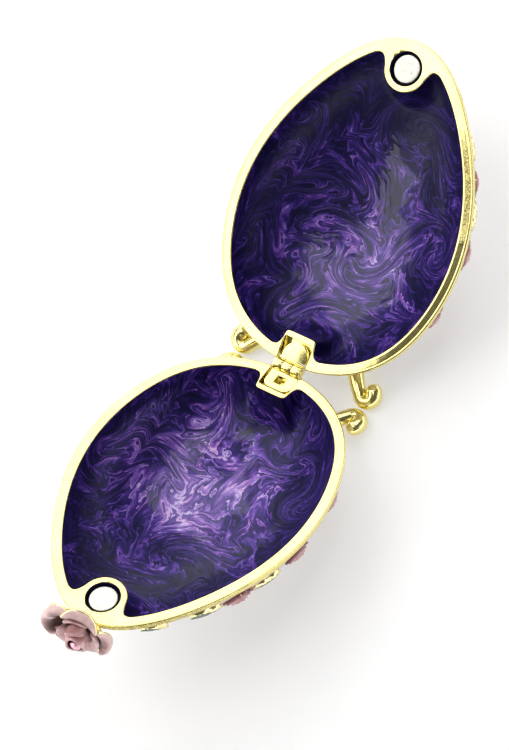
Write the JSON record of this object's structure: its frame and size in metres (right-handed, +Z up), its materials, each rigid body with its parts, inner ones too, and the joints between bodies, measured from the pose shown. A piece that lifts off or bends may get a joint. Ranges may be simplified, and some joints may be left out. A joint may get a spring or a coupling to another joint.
{
  "type": "hinged egg trinket box",
  "caption": "Small egg-shaped trinket box, shown open on its hinge, with enamelled hollow halves, curled feet, magnetic catch and a rose at the narrow end.",
  "frame": {"origin": "middle of the bounding box at the underside, on the surface the opened box lies on", "axes": "+X along the hinge axis, +Y from the half with the rose towards the other half, +Z up"},
  "size_m": [0.044, 0.117, 0.034],
  "materials": {
    "gilt_enamel_casting": "gold plate on cast alloy, purple marbled enamel inside, pearl enamel with raised flowers outside",
    "plated_magnet": "nickel plate",
    "gilt_hinge": "gold plate",
    "enamelled_rose": "dusty pink enamel with gold edges",
    "pink_crystal": "faceted crystal"
  },
  "bodies": {
    "lower_half": {"lower_shell": "gilt_enamel_casting", "lower_magnet": "plated_magnet", "lower_hinge_leaf": "gilt_hinge", "hinge_pin": "gilt_hinge", "rose_finial": "enamelled_rose", "rose_crystal": "pink_crystal", "lower_back_crystal": "pink_crystal"},
    "upper_half": {"upper_shell": "gilt_enamel_casting", "upper_magnet": "plated_magnet", "upper_hinge_leaf": "gilt_hinge", "upper_back_crystal": "pink_crystal"}
  },
  "joints": [
    {"name": "lid_hinge", "type": "hinge", "parent": "lower_half", "child": "upper_half", "pos_m": [0, 0.00326, 0.0073], "axis": [1, 0, 0], "range_deg": [0, 140.98]}
  ]
}
